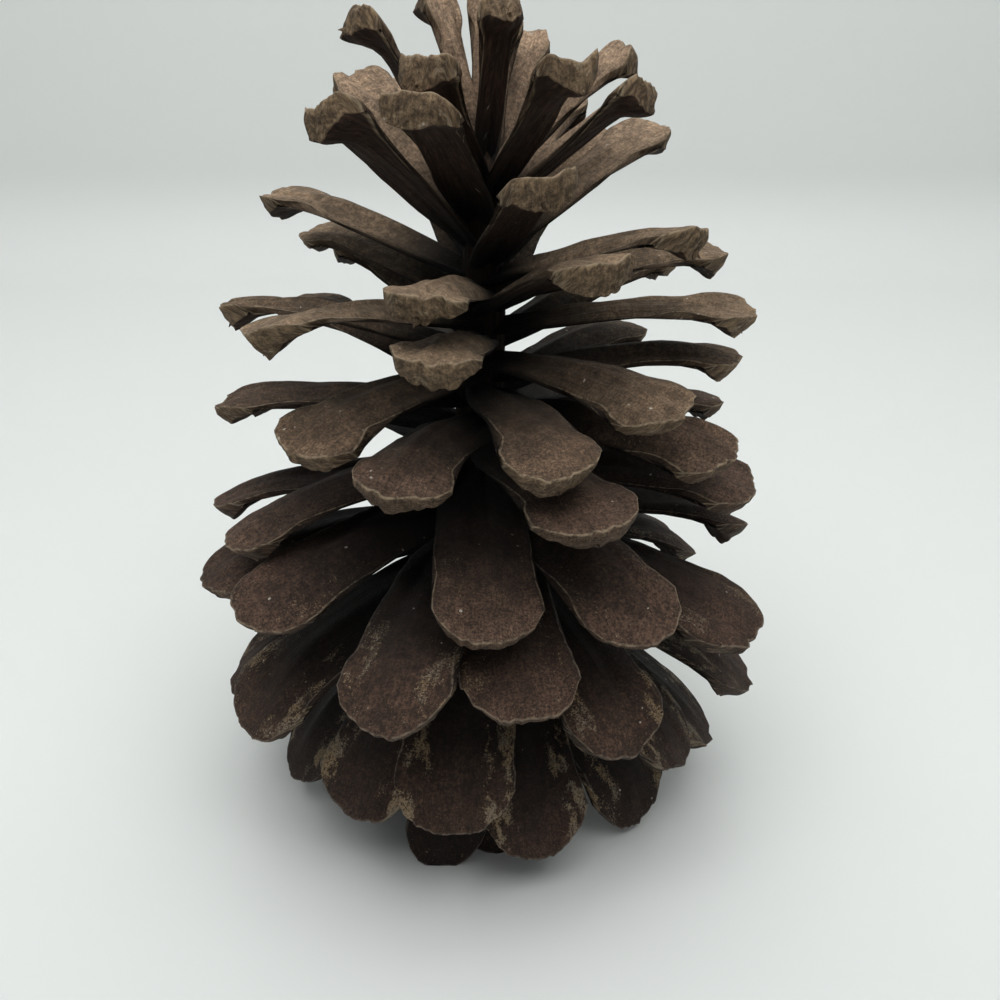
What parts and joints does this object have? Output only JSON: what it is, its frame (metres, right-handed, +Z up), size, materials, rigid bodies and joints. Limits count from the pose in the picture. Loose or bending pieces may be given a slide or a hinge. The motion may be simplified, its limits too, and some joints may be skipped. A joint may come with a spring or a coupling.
{
  "type": "pine cone",
  "caption": "Open, weathered pine cone standing on its stem end, with long woody scales that hang at the base, spread at mid height and point up at the top.",
  "frame": {"origin": "the centre of the box's underside, on the surface that the cone stands on", "axes": "+Z up along the cone's axis, stem end below and apex above; -Y towards the viewer of the picture"},
  "size_m": [0.1278, 0.1328, 0.1827],
  "materials": {
    "cone_wood": "dry, matt, weathered"
  },
  "bodies": {
    "root": {"pine_cone": "cone_wood"}
  },
  "joints": []
}
